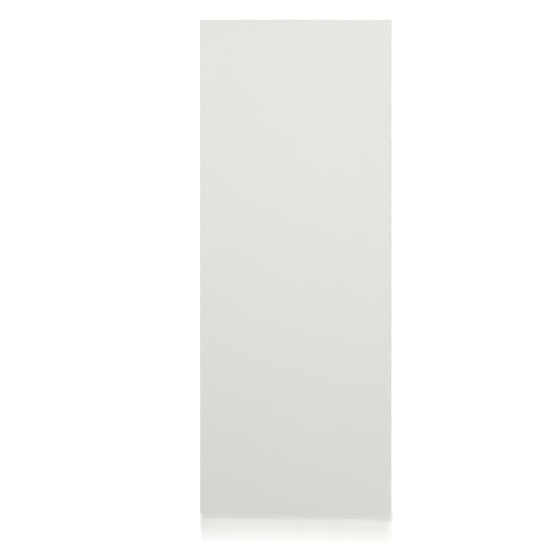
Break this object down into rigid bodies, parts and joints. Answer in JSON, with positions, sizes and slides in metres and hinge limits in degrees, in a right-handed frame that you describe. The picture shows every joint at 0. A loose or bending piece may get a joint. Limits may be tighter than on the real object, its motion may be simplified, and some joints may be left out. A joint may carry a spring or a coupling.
{
  "type": "flat wall panel",
  "caption": "Smooth flat rectangular wall panel, one painted board in matt off-white, with eased edges and corners.",
  "frame": {"origin": "middle of the back face, which lies on the floor", "axes": "+Z out of the show face, +Y along the panel towards its top end, +X across it"},
  "size_m": [0.35, 0.9, 0.022],
  "materials": {
    "painted_board": "matte"
  },
  "bodies": {
    "root": {"wall_panel": "painted_board"}
  },
  "joints": []
}
